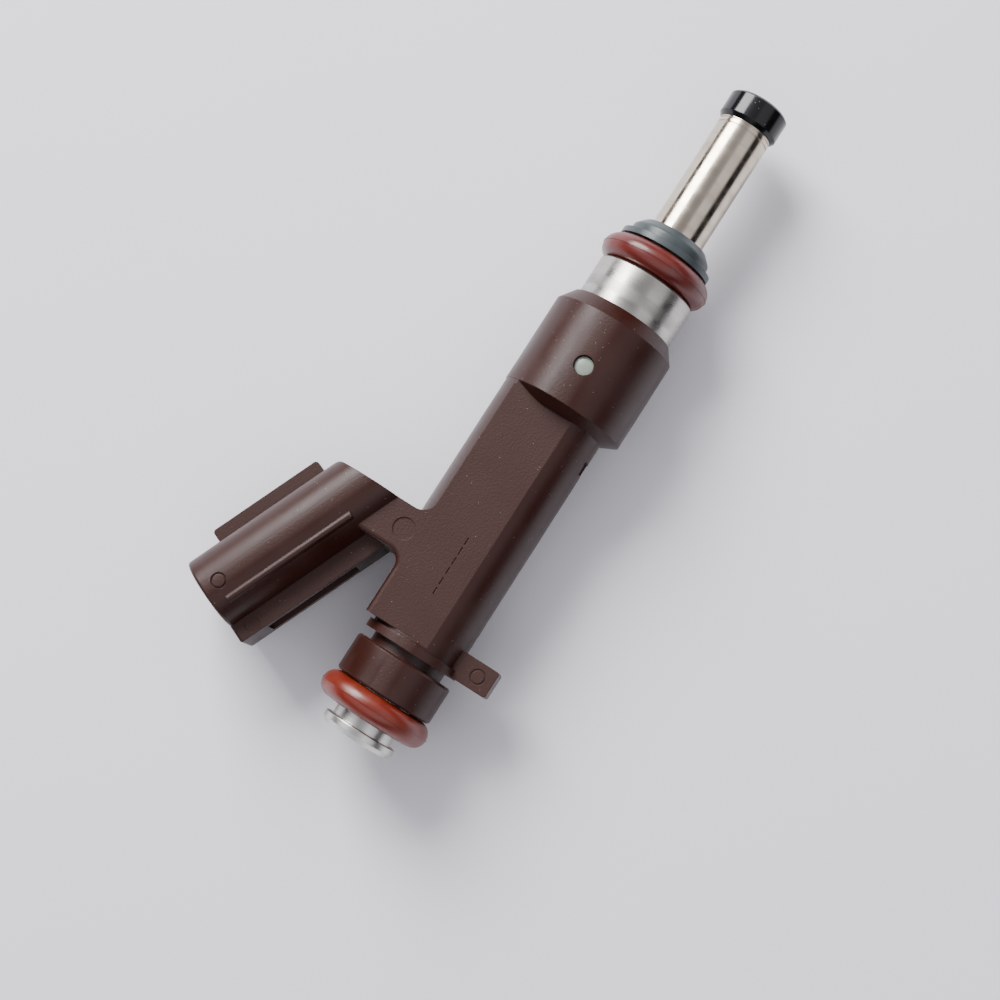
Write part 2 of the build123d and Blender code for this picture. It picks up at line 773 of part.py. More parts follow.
# ================================================================ seat and nozzle
with BuildPart() as valve_seat:
    turned(
        [
            (seat_x, seat_entry_radius),
            (seat_x, nozzle_bore_radius),
            (orifice_plate_x, nozzle_bore_radius),
            (orifice_plate_x, seat_sac_radius),
            (seat_sac_x, seat_sac_radius),
            (seat_cone_x, ball_guide_radius),
            (seat_x + seat_entry_length, ball_guide_radius),
            (seat_x + seat_entry_length, seat_entry_radius),
        ]
    )
    # Flow grooves past the ball.
    with BuildSketch(Plane.YZ.offset(seat_x)):
        with PolarLocations(ball_guide_radius, seat_groove_count):
            Circle(seat_groove_radius)
    extrude(amount=seat_cone_x - seat_x, mode=Mode.SUBTRACT)
export(valve_seat, "valve_seat")

with BuildPart() as orifice_plate:
    round_bar(orifice_plate_x, orifice_plate_x + orifice_plate_thickness, nozzle_bore_radius)
    with BuildSketch(Plane.YZ.offset(orifice_plate_x)):
        with PolarLocations(orifice_pitch_radius, orifice_count):
            Circle(orifice_radius)
    extrude(amount=orifice_plate_thickness, mode=Mode.SUBTRACT)
export(orifice_plate, "orifice_plate")

with BuildPart() as nozzle_tube:
    ring(nozzle_x, nozzle_end_x, nozzle_radius, nozzle_bore_radius)
    for step in (0, 1):
        groove_start = tip_ring_x - nozzle_groove_from_ring + step * nozzle_groove_pitch
        turned(
            [
                (groove_start, nozzle_radius - nozzle_groove_depth),
                (groove_start + nozzle_groove_width, nozzle_radius - nozzle_groove_depth),
                (groove_start + nozzle_groove_width, nozzle_radius + nozzle_groove_depth),
                (groove_start, nozzle_radius + nozzle_groove_depth),
            ],
            Mode.SUBTRACT,
        )
export(nozzle_tube, "nozzle_tube")

with BuildPart() as nozzle_tip_ring:
    turned(
        [
            (tip_ring_x, nozzle_radius),
            (tip_ring_x + tip_ring_chamfer, tip_ring_radius),
            (tip_x - tip_ring_edge, tip_ring_radius),
            (tip_x, tip_ring_radius - tip_ring_edge),
            (tip_x, tip_ring_lip_radius),
            (nozzle_end_x, tip_ring_lip_radius),
            (nozzle_end_x, nozzle_radius),
        ]
    )
export(nozzle_tip_ring, "nozzle_tip_ring")

with BuildPart() as manifold_o_ring:
    o_ring(pipe_radius, manifold_seal_section, manifold_seal_x)
export(manifold_o_ring, "manifold_o_ring")

with BuildPart() as retainer_collar:
    turned(
        [
            (retainer_x, pipe_radius),
            (retainer_x, retainer_flange_radius),
            (retainer_body_x, retainer_flange_radius),
            (retainer_body_x, retainer_body_radius),
            (retainer_nose_x, retainer_body_radius),
            (retainer_end_x, retainer_nose_radius),
            (retainer_end_x, nozzle_radius + retainer_lip_clearance),
            (valve_body_end_x, nozzle_radius + retainer_lip_clearance),
            (valve_body_end_x, pipe_radius),
        ]
    )
    nose = retainer_collar.edges().filter_by(GeomType.CIRCLE)
    nose = nose.filter_by(lambda edge: abs(edge.radius - retainer_body_radius) < 1e-6)
    fillet(nose.sort_by(Axis.X)[-1:], radius=retainer_nose_round)
export(retainer_collar, "retainer_collar")

# ================================================================ terminals
for name, side in (("terminal_a", -1), ("terminal_b", 1)):
    with BuildPart() as terminal:
        terminal_strip(side * terminal_spacing / 2)
        tip = terminal.faces().sort_by(Axis(plug_mouth, plug_inward))[0]
        chamfer(tip.edges().filter_by(Axis.Z), length=terminal_bevel)
    export(terminal, name)
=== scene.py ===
"""Looks of a port fuel injector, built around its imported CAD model.

Lengths are in metres, in the CAD model's own frame: the origin is on the injector's axis in the
plane of the inlet mouth, +X runs to the nozzle tip and +Y towards the plug socket.
"""

from __future__ import annotations

import logging
import math
from dataclasses import dataclass
from enum import Enum

import bpy
from mathutils import Matrix, Vector

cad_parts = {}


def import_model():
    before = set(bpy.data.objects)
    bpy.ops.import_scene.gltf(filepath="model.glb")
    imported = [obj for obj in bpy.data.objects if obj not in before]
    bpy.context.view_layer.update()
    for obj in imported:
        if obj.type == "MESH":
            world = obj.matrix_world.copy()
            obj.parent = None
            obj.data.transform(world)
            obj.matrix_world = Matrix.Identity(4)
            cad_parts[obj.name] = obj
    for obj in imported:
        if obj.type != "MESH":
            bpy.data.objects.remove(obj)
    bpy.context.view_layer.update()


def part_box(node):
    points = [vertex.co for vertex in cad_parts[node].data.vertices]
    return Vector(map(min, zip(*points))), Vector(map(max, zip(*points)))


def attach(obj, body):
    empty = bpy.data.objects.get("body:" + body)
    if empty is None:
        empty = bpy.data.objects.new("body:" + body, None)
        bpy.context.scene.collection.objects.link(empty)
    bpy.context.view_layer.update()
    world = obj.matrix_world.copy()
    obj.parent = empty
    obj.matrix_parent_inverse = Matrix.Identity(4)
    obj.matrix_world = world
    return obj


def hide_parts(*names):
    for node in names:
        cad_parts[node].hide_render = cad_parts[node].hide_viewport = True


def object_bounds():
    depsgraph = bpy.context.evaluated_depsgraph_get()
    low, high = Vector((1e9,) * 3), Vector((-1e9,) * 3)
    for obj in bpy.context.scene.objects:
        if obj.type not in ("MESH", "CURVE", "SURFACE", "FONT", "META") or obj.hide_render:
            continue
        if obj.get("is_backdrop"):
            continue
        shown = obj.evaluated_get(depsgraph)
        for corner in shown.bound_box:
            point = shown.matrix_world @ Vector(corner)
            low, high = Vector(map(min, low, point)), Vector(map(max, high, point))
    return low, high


LOG = logging.getLogger("injector")
FIXED_BODY = "injector_body"

Colour = tuple[float, float, float]
Triple = tuple[float, float, float]
Source = "bpy.types.NodeSocket | float | tuple"
Mesh = tuple[list[Vector], list[tuple[int, ...]]]

DUST_COLOUR = (190, 184, 182)
EDGE_WEAR_AND_HIGHLIGHT_PATCHES = 900.0
BLOTCH_SHARE = 0.45
FLAT_HAZE_SHARE = 0.4
FLECK_SHARE = 0.3
# Share of the worn colour on plastic edges, standing for rubbed wear and a painted edge highlight.
RUBBED_AND_HIGHLIGHT_SHARE = 0.5


class Polish(Enum):
    """How finely a metal surface is finished, as its lowest and highest roughness."""

    BRIGHT = (0.13, 0.24)
    SATIN = (0.22, 0.36)
    DULL = (0.36, 0.52)


class Texture(Enum):
    """How a plastic's mould was finished, as the height of its grain on round and flat faces."""

    SPARKED = (0.000006, 0.00003)
    FINE = (0.000003, 0.000006)
    GLOSSY = (0.0000008, 0.0000012)


# ---------------------------------------------------------------------------- node building


class Graph:
    """Adds nodes to one shader tree and links them."""

    def __init__(self, tree: bpy.types.NodeTree) -> None:
        """Work on a tree.

        Args:
            tree: the material's or group's node tree.
        """
        self.tree = tree

    def add(self, kind: str, **settings: object) -> bpy.types.Node:
        """Add a node.

        Args:
            kind: the node's type name.
            settings: values for the node's own properties.

        Returns:
            The new node.
        """
        node = self.tree.nodes.new(kind)
        for name, value in settings.items():
            setattr(node, name, value)
        return node

    def feed(self, socket: bpy.types.NodeSocket, source: Source) -> None:
        """Link a source to a socket, or set the socket's value.

        Args:
            socket: the input to feed.
            source: an output socket, or a plain value.
        """
        if isinstance(source, bpy.types.NodeSocket):
            self.tree.links.new(source, socket)
        else:
            socket.default_value = source

    def math(self, operation: str, *sources: Source) -> bpy.types.NodeSocket:
        """Add a Math node.

        Args:
            operation: the node's operation.
            sources: its inputs, in order.

        Returns:
            The result's socket.
        """
        node = self.add("ShaderNodeMath", operation=operation)
        for socket, source in zip(node.inputs, sources):
            self.feed(socket, source)
        return node.outputs[0]

    def spread(
        self, value: Source, low: float, high: float, to_low: Source, to_high: Source
    ) -> bpy.types.NodeSocket:
        """Map a value from one range to another, clamped.

        Args:
            value: what to map.
            low: the start of its range.
            high: the end of its range.
            to_low: the result at the start.
            to_high: the result at the end.

        Returns:
            The mapped value's socket.
        """
        node = self.add("ShaderNodeMapRange")
        for socket, source in zip(node.inputs, (value, low, high, to_low, to_high)):
            self.feed(socket, source)
        return node.outputs[0]

    def blend(self, share: Source, first: Source, second: Source) -> bpy.types.NodeSocket:
        """Blend two colours.

        Args:
            share: how much of the second is taken, from 0 to 1.
            first: the first colour.
            second: the second colour.

        Returns:
            The blended colour's socket.
        """
        node = self.add("ShaderNodeMix", data_type="RGBA")
        self.feed(node.inputs[0], share)
        self.feed(node.inputs[6], first)
        self.feed(node.inputs[7], second)
        return node.outputs[2]

    def noise(self, vector: Source, scale: Source, detail: float) -> bpy.types.NodeSocket:
        """Add a Noise Texture.

        Args:
            vector: where it is read.
            scale: cells per metre.
            detail: how many finer layers it has.

        Returns:
            The noise value's socket.
        """
        node = self.add("ShaderNodeTexNoise")
        self.feed(node.inputs["Vector"], vector)
        self.feed(node.inputs["Scale"], scale)
        node.inputs["Detail"].default_value = detail
        return node.outputs[0]

    def call(self, group: bpy.types.NodeTree, **values: Source) -> bpy.types.Node:
        """Place a shared group.

        Args:
            group: the group's tree.
            values: its inputs by name.

        Returns:
            The group's node.
        """
        node = self.add("ShaderNodeGroup", node_tree=group)
        for name, source in values.items():
            self.feed(node.inputs[name], source)
        return node


def linear(red: int, green: int, blue: int) -> Colour:
    """Turn a screen colour into a linear one.

    Args:
        red: 0 to 255.
        green: 0 to 255.
        blue: 0 to 255.

    Returns:
        The three linear values.
    """
    return tuple(
        c / 12.92 if c <= 0.04045 else ((c + 0.055) / 1.055) ** 2.4
        for c in (red / 255, green / 255, blue / 255)
    )


def opaque(colour: Colour) -> tuple[float, float, float, float]:
    """Give a colour full alpha."""
    return (*colour, 1.0)


# ---------------------------------------------------------------------------- shared groups


class EffectGroup:
    """A shader node group with named inputs and outputs, made once and shared."""

    name = ""
    inputs: dict[str, float] = {}
    outputs: dict[str, str] = {}

    def tree(self) -> bpy.types.NodeTree:
        """Make the group, or find it if it is made already.

        Returns:
            The group's tree.
        """
        found = bpy.data.node_groups.get(self.name)
        if found:
            return found
        tree = bpy.data.node_groups.new(self.name, "ShaderNodeTree")
        for name, value in self.inputs.items():
            socket = tree.interface.new_socket(
                name=name, in_out="INPUT", socket_type="NodeSocketFloat"
            )
            socket.default_value = value
        for name, kind in self.outputs.items():
            tree.interface.new_socket(name=name, in_out="OUTPUT", socket_type=kind)
        graph = Graph(tree)
        given = graph.add("NodeGroupInput").outputs
        result = graph.add("NodeGroupOutput").inputs
        for name, socket in self.fill(graph, given).items():
            graph.feed(result[name], socket)
        return tree

    def fill(self, graph: Graph, given: bpy.types.NodeOutputs) -> dict[str, bpy.types.NodeSocket]:
        """Build the group's inside.

        Args:
            graph: the group's own graph.
            given: the group's inputs, by name.

        Returns:
            The socket that feeds each output.
        """
        raise NotImplementedError


class MouldGrain(EffectGroup):
    """The fine spark-eroded grain of a mould, stronger on flat faces than on round ones."""

    name = "Mould_Grain"
    inputs = {"Grain Size": 6500.0, "Round Height": 0.3, "Flat Height": 1.0}
    outputs = {"Height": "NodeSocketFloat", "Flat": "NodeSocketFloat", "Fleck": "NodeSocketFloat"}

    def fill(self, graph: Graph, given: bpy.types.NodeOutputs) -> dict[str, bpy.types.NodeSocket]:
        """Mix pits and grain, and tell flat faces from round ones."""
        place = graph.add("ShaderNodeTexCoord")
        axes = graph.add("ShaderNodeSeparateXYZ")
        graph.feed(axes.inputs[0], place.outputs["Normal"])
        flat = graph.spread(graph.math("ABSOLUTE", axes.outputs[2]), 0.985, 0.998, 0.0, 1.0)
        grain = graph.noise(place.outputs["Object"], given["Grain Size"], 3.0)
        pits = graph.add("ShaderNodeTexVoronoi", feature="SMOOTH_F1")
        graph.feed(pits.inputs["Vector"], place.outputs["Object"])
        graph.feed(pits.inputs["Scale"], graph.math("MULTIPLY", given["Grain Size"], 0.8))
        relief = graph.math("ADD", grain, graph.math("MULTIPLY", pits.outputs[0], 0.5))
        strength = graph.spread(flat, 0.0, 1.0, given["Round Height"], given["Flat Height"])
        fleck = graph.spread(pits.outputs[0], 0.02, 0.16, 1.0, 0.0)
        return {"Height": graph.math("MULTIPLY", relief, strength), "Flat": flat, "Fleck": fleck}


class EdgeWearAndHighlight(EffectGroup):
    """Edges softened by a small radius, and a patchy mask of the edges, used both for rubbed wear
    and for a painted edge highlight.
    """

    name = "Edge_Wear_And_Highlight"
    inputs = {"Radius": 0.00015, "Amount": 1.0, "Patchiness": EDGE_WEAR_AND_HIGHLIGHT_PATCHES}
    outputs = {"Edge": "NodeSocketFloat", "Normal": "NodeSocketVector"}

    def fill(self, graph: Graph, given: bpy.types.NodeOutputs) -> dict[str, bpy.types.NodeSocket]:
        """Compare the softened normal with the plain one, broken up by noise."""
        soft = graph.add("ShaderNodeBevel", samples=4)
        graph.feed(soft.inputs["Radius"], given["Radius"])
        plain = graph.add("ShaderNodeNewGeometry").outputs["Normal"]
        match = graph.add("ShaderNodeVectorMath", operation="DOT_PRODUCT")
        graph.feed(match.inputs[0], soft.outputs[0])
        graph.feed(match.inputs[1], plain)
        place = graph.add("ShaderNodeTexCoord").outputs["Object"]
        patches = graph.spread(
            graph.noise(place, given["Patchiness"], 4.0), 0.38, 0.62, 0.15, 1.0
        )
        bend = graph.spread(match.outputs["Value"], 0.995, 0.86, 0.0, 1.0)
        # The patchy edge mask feeds both rubbed wear and a painted edge highlight in the finishes.
        worn_and_highlight = graph.math("MULTIPLY", graph.math("MULTIPLY", bend, patches), given["Amount"])
        return {"Edge": graph.math("MINIMUM", worn_and_highlight, 1.0), "Normal": soft.outputs[0]}


class Handling(EffectGroup):
    """Soft blotches of handling, and fine dust that settles on what faces up."""

    name = "Handling"
    inputs = {"Blotch Size": 160.0, "Dust Size": 2600.0}
    outputs = {"Blotch": "NodeSocketFloat", "Dust": "NodeSocketFloat"}

    def fill(self, graph: Graph, given: bpy.types.NodeOutputs) -> dict[str, bpy.types.NodeSocket]:
        """Make the blotches from slow noise and the dust from sparse specks."""
        place = graph.add("ShaderNodeTexCoord")
        blotch = graph.spread(
            graph.noise(place.outputs["Object"], given["Blotch Size"], 5.0), 0.32, 0.68, 0.0, 1.0
        )
        specks = graph.add("ShaderNodeTexVoronoi")
        graph.feed(specks.inputs["Vector"], place.outputs["Object"])
        graph.feed(specks.inputs["Scale"], given["Dust Size"])
        near = graph.spread(specks.outputs["Distance"], 0.08, 0.16, 1.0, 0.0)
        pick = graph.add("ShaderNodeSeparateColor")
        graph.feed(pick.inputs[0], specks.outputs["Color"])
        some = graph.spread(pick.outputs[0], 0.9, 0.94, 0.0, 1.0)
        axes = graph.add("ShaderNodeSeparateXYZ")
        graph.feed(axes.inputs[0], place.outputs["Normal"])
        up = graph.spread(axes.outputs[2], -0.1, 0.7, 0.1, 1.0)
        dust = graph.math("MULTIPLY", graph.math("MULTIPLY", near, some), up)
        return {"Blotch": blotch, "Dust": dust}


class TurnedLines(EffectGroup):
    """Fine rings left by the lathe tool, square to the axis."""

    name = "Turned_Lines"
    inputs = {"Lines": 9000.0, "Waves": 700.0}
    outputs = {"Height": "NodeSocketFloat", "Streak": "NodeSocketFloat"}

    def fill(self, graph: Graph, given: bpy.types.NodeOutputs) -> dict[str, bpy.types.NodeSocket]:
        """Read one-way noise along the axis, at a fine and a coarse pitch."""
        place = graph.add("ShaderNodeTexCoord").outputs["Object"]
        axes = graph.add("ShaderNodeSeparateXYZ")
        graph.feed(axes.inputs[0], place)
        layers = []
        for pitch, detail in ((given["Lines"], 2.0), (given["Waves"], 3.0)):
            node = graph.add("ShaderNodeTexNoise", noise_dimensions="1D")
            graph.feed(node.inputs["W"], axes.outputs[0])
            graph.feed(node.inputs["Scale"], pitch)
            node.inputs["Detail"].default_value = detail
            layers.append(node.outputs[0])
        drift = graph.noise(place, 420.0, 3.0)
        coarse_share = graph.math("MULTIPLY", layers[1], 0.6)
        streak = graph.math("ADD", coarse_share, graph.math("MULTIPLY", drift, 0.4))
        return {"Height": graph.math("ADD", layers[0], layers[1]), "Streak": streak}


# ---------------------------------------------------------------------------- finishes


@dataclass(frozen=True)
class Finish:
    """A procedural material for one of the record's material slots."""

    slot: str
    colour: Colour

    def material(self) -> bpy.types.Material:
        """Make the material, or find it if it is made already.

        Returns:
            The finished material.
        """
        name = f"{self.slot}_finish"
        found = bpy.data.materials.get(name)
        if found:
            return found
        made = bpy.data.materials.new(name)
        made.use_nodes = True
        made.diffuse_color = opaque(self.colour)
        made.node_tree.nodes.clear()
        graph = Graph(made.node_tree)
        shader = graph.add("ShaderNodeBsdfPrincipled")
        end = graph.add("ShaderNodeOutputMaterial")
        graph.feed(end.inputs["Surface"], shader.outputs[0])
        self.shade(graph, shader.inputs)
        return made

    def shade(self, graph: Graph, shader: bpy.types.NodeInputs) -> None:
        """Feed the shader.

        Args:
            graph: the material's graph.
            shader: the Principled shader's inputs.
        """
        raise NotImplementedError

    def emboss(
        self,
        graph: Graph,
        shader: bpy.types.NodeInputs,
        height: Source,
        depth: float,
        normal: Source,
    ) -> None:
        """Add a bump to the shader.

        Args:
            graph: the material's graph.
            shader: the shader's inputs.
            height: the relief, about 0 to 1.
            depth: how deep the relief is.
            normal: the normal below the relief.
        """
        bump = graph.add("ShaderNodeBump")
        bump.inputs["Strength"].default_value = 1.0
        bump.inputs["Distance"].default_value = depth
        graph.feed(bump.inputs["Height"], height)
        graph.feed(bump.inputs["Normal"], normal)
        graph.feed(shader["Normal"], bump.outputs[0])


@dataclass(frozen=True)
class MouldedPlastic(Finish):
    """Glass-filled moulded plastic: a grained skin, paler along its edges, partly from rubbed wear
    and partly as a painted edge highlight.
    """

    worn_and_highlight: Colour = (0.3, 0.2, 0.18)
    haze: Colour = (0.1, 0.07, 0.07)
    texture: Texture = Texture.FINE
    gloss: tuple[float, float] = (0.36, 0.52)
    grain_size: float = 3600.0
    edge_wear_and_highlight: float = 0.5
    dust: float = 0.5
    edge_radius: float = 0.00014
    specular: float = 0.4

    def shade(self, graph: Graph, shader: bpy.types.NodeInputs) -> None:
        """Lay grain, blotches, edges paled for rubbed wear and a painted highlight, and dust over
        the plain colour.
        """
        round_height, flat_height = self.texture.value
        top = max(round_height, flat_height)
        grain = graph.call(
            MouldGrain().tree(),
            **{
                "Grain Size": self.grain_size,
                "Round Height": round_height / top,
                "Flat Height": flat_height / top,
            },
        ).outputs
        edges = graph.call(
            EdgeWearAndHighlight().tree(), Radius=self.edge_radius, Amount=self.edge_wear_and_highlight, Patchiness=EDGE_WEAR_AND_HIGHLIGHT_PATCHES
        ).outputs
        marks = graph.call(Handling().tree()).outputs
        skin = graph.blend(
            graph.math("MULTIPLY", marks["Blotch"], BLOTCH_SHARE),
            opaque(self.colour),
            opaque(self.haze),
        )
        flat_haze = graph.math("MULTIPLY", grain["Flat"], FLAT_HAZE_SHARE)
        matt = graph.blend(flat_haze, skin, opaque(self.haze))
        flecks = graph.math("MULTIPLY", grain["Fleck"], grain["Flat"])
        flecked = graph.blend(
            graph.math("MULTIPLY", flecks, FLECK_SHARE), matt, opaque(self.worn_and_highlight)
        )
        # Edges are paled towards the worn colour: partly rubbed wear, partly a painted edge
        # highlight.
        edge_share = graph.math("MULTIPLY", edges["Edge"], RUBBED_AND_HIGHLIGHT_SHARE)
        rubbed_and_highlit = graph.blend(edge_share, flecked, opaque(self.worn_and_highlight))
        dusted = graph.blend(
            graph.math("MULTIPLY", marks["Dust"], self.dust), rubbed_and_highlit, opaque(linear(*DUST_COLOUR))
        )
        graph.feed(shader["Base Color"], dusted)
        low, high = self.gloss
        rough = graph.spread(marks["Blotch"], 0.0, 1.0, low, (low + high) / 2)
        rough = graph.spread(grain["Flat"], 0.0, 1.0, rough, high)
        graph.feed(shader["Roughness"], rough)
        shader["Specular IOR Level"].default_value = self.specular
        self.emboss(graph, shader, grain["Height"], top, edges["Normal"])


@dataclass(frozen=True)
class TurnedMetal(Finish):
    """Metal turned on a lathe: tool rings, stains, and edges painted brighter, partly as rubbed
    wear and partly as a painted highlight.
    """

    stain: Colour = (0.25, 0.22, 0.2)
    polish: Polish = Polish.SATIN
    lines: float = 9000.0
    ring_depth: float = 0.0000025
    staining: float = 0.35

    def shade(self, graph: Graph, shader: bpy.types.NodeInputs) -> None:
        """Lay tool rings, streaks, stains and brightened edges (rubbed wear and a painted
        highlight) over the bare metal.
        """
        rings = graph.call(TurnedLines().tree(), Lines=self.lines).outputs
        marks = graph.call(Handling().tree(), **{"Blotch Size": 260.0}).outputs
        edges = graph.call(EdgeWearAndHighlight().tree(), Radius=0.00008, Amount=1.0).outputs
        stained = graph.math(
            "MULTIPLY",
            graph.spread(rings["Streak"], 0.42, 0.62, 0.0, 1.0),
            graph.spread(marks["Blotch"], 0.2, 1.0, 0.2 * self.staining, self.staining),
        )
        body = graph.blend(stained, opaque(self.colour), opaque(self.stain))
        # A brighter copy of the metal's colour on its edges: partly rubbed wear, partly a painted
        # highlight.
        edge_wear_and_highlight_colour = tuple(min(1.0, 1.25 * c) for c in self.colour)
        graph.feed(
            shader["Base Color"],
            graph.blend(graph.math("MULTIPLY", edges["Edge"], 0.6), body, opaque(edge_wear_and_highlight_colour)),
        )
        low, high = self.polish.value
        graph.feed(shader["Roughness"], graph.spread(rings["Streak"], 0.35, 0.65, low, high))
        shader["Metallic"].default_value = 1.0
        self.emboss(graph, shader, rings["Height"], self.ring_depth, edges["Normal"])


@dataclass(frozen=True)
class SealRubber(Finish):
    """Fluoro rubber of a moulded seal: an oily skin with pale bloom, and edges paled towards the
    bloom, partly rubbed wear and partly a painted highlight.
    """

    bloom: Colour = (0.4, 0.2, 0.14)
    grain_size: float = 9000.0

    def shade(self, graph: Graph, shader: bpy.types.NodeInputs) -> None:
        """Lay bloom, dust, paled edges (rubbed wear and a painted highlight) and a soft film over
        the rubber.
        """
        grain = graph.call(
            MouldGrain().tree(),
            **{"Grain Size": self.grain_size, "Round Height": 1.0, "Flat Height": 1.0},
        ).outputs
        marks = graph.call(Handling().tree(), **{"Blotch Size": 420.0}).outputs
        edges = graph.call(EdgeWearAndHighlight().tree(), Radius=0.0001, Amount=1.0).outputs
        skin = graph.blend(
            graph.math("MULTIPLY", marks["Blotch"], 0.3), opaque(self.colour), opaque(self.bloom)
        )
        # Edges paled towards the bloom colour: partly rubbed wear, partly a painted highlight.
        rubbed_and_highlit_skin = graph.blend(graph.math("MULTIPLY", edges["Edge"], 0.45), skin, opaque(self.bloom))
        graph.feed(
            shader["Base Color"],
            graph.blend(graph.math("MULTIPLY", marks["Dust"], 0.35), rubbed_and_highlit_skin, opaque(self.bloom)),
        )
        graph.feed(shader["Roughness"], graph.spread(marks["Blotch"], 0.0, 1.0, 0.3, 0.46))
        shader["Coat Roughness"].default_value = 0.25
        graph.feed(shader["Coat Weight"], graph.spread(marks["Blotch"], 0.0, 1.0, 0.35, 0.1))
        self.emboss(graph, shader, grain["Height"], 0.000004, edges["Normal"])


@dataclass(frozen=True)
class EnamelledWire(Finish):
    """Copper wire under clear enamel, darker in soft blotches."""

    gap: Colour = (0.09, 0.02, 0.008)

    def shade(self, graph: Graph, shader: bpy.types.NodeInputs) -> None:
        """Lay an enamel tone in soft blotches, with a matching faint relief, over the copper."""
        marks = graph.call(Handling().tree(), **{"Blotch Size": 500.0}).outputs
        edges = graph.call(EdgeWearAndHighlight().tree(), Radius=0.00006, Amount=0.6).outputs
        hue = graph.blend(
            graph.math("MULTIPLY", marks["Blotch"], 0.5), opaque(self.colour), opaque(self.gap)
        )
        graph.feed(shader["Base Color"], hue)
        graph.feed(shader["Roughness"], graph.spread(marks["Blotch"], 0.0, 1.0, 0.22, 0.38))
        shader["Metallic"].default_value = 0.9
        shader["Coat Weight"].default_value = 0.6
        shader["Coat Roughness"].default_value = 0.08
        self.emboss(graph, shader, marks["Blotch"], 0.000003, edges["Normal"])


@dataclass(frozen=True)
class StudioPaper(Finish):
    """The smooth pale sheet that the injector lies on."""

    def shade(self, graph: Graph, shader: bpy.types.NodeInputs) -> None:
        """Give the sheet a slow change of tone."""
        place = graph.add("ShaderNodeTexCoord").outputs["Object"]
        tone = graph.noise(place, 9.0, 2.0)
        deeper = tuple(0.97 * c for c in self.colour)
        graph.feed(
            shader["Base Color"],
            graph.blend(
                graph.spread(tone, 0.3, 0.7, 0.0, 1.0), opaque(self.colour), opaque(deeper)
            ),
        )
        shader["Roughness"].default_value = 0.75
        shader["Specular IOR Level"].default_value = 0.2


BROWN_PLASTIC = MouldedPlastic(
    "brown_plastic", linear(47, 19, 13), worn_and_highlight=linear(110, 80, 72), haze=linear(60, 36, 31),
    texture=Texture.SPARKED, gloss=(0.3, 0.55), edge_wear_and_highlight=0.5, dust=0.4,
    grain_size=5200.0, specular=0.33,
)
BLACK_PLASTIC = MouldedPlastic(
    "black_plastic", linear(16, 16, 17), worn_and_highlight=linear(70, 70, 74), haze=linear(24, 24, 26),
    texture=Texture.GLOSSY, gloss=(0.14, 0.2), edge_wear_and_highlight=0.35, dust=0.5,
)
GREY_PLASTIC = MouldedPlastic(
    "grey_plastic", linear(62, 70, 72), worn_and_highlight=linear(116, 122, 124), haze=linear(72, 78, 80),
    texture=Texture.FINE, gloss=(0.3, 0.42), edge_wear_and_highlight=0.35, dust=0.3,
)
FILTER_PLASTIC = MouldedPlastic(
    "filter_plastic", linear(196, 190, 172), worn_and_highlight=linear(220, 216, 204),
    haze=linear(180, 172, 152), texture=Texture.FINE, gloss=(0.36, 0.48), edge_wear_and_highlight=0.3, dust=0.1,
)
BOBBIN_PLASTIC = MouldedPlastic(
    "bobbin_plastic", linear(38, 36, 34), worn_and_highlight=linear(110, 106, 100), haze=linear(52, 49, 46),
    texture=Texture.FINE, gloss=(0.4, 0.52), edge_wear_and_highlight=0.4, dust=0.1,
)
PIPE_STEEL = TurnedMetal(
    "pipe_steel", linear(214, 212, 208), stain=linear(150, 144, 136), polish=Polish.SATIN,
)
HOUSING_STEEL = TurnedMetal(
    "housing_steel", linear(184, 181, 175), stain=linear(104, 96, 86), polish=Polish.SATIN,
    lines=7000.0, ring_depth=0.000003, staining=0.5,
)
NOZZLE_STEEL = TurnedMetal(
    "nozzle_steel", linear(208, 195, 178), stain=linear(138, 122, 106), polish=Polish.BRIGHT,
    lines=12000.0, ring_depth=0.0000012, staining=0.4,
)
VALVE_STEEL = TurnedMetal(
    "valve_steel", linear(205, 205, 205), stain=linear(140, 136, 132), polish=Polish.BRIGHT,
)
MAGNET_IRON = TurnedMetal(
    "magnet_iron", linear(160, 160, 162), stain=linear(96, 92, 88), polish=Polish.DULL,
)
FILTER_STEEL = TurnedMetal(
    "filter_steel", linear(176, 176, 172), stain=linear(110, 106, 98), polish=Polish.DULL,
)
TERMINAL_TIN = TurnedMetal(
    "terminal_tin", linear(214, 214, 210), stain=linear(150, 148, 140), polish=Polish.SATIN,
    staining=0.6,
)
ORANGE_RUBBER = SealRubber("orange_rubber", linear(106, 26, 9), bloom=linear(136, 58, 36))
RED_RUBBER = SealRubber("red_rubber", linear(88, 18, 10), bloom=linear(120, 46, 34))
PALE_RESIN = SealRubber("pale_resin", linear(132, 142, 130), bloom=linear(196, 202, 192))
COPPER_WIRE = EnamelledWire("copper_wire", linear(196, 98, 48))
PAPER = StudioPaper("studio_paper", linear(244, 243, 249))


# ---------------------------------------------------------------------------- mesh building


def dress_node(node: str, finish: Finish) -> None:
    """Put a finish on every material slot of a CAD node.

    Args:
        node: the CAD node's name.
        finish: what it is made of.
    """
    piece = bpy.data.objects[node]
    if not piece.material_slots:
        piece.data.materials.append(None)
    for holder in piece.material_slots:
        holder.material = finish.material()
    LOG.info("%s: %s", node, finish.slot)


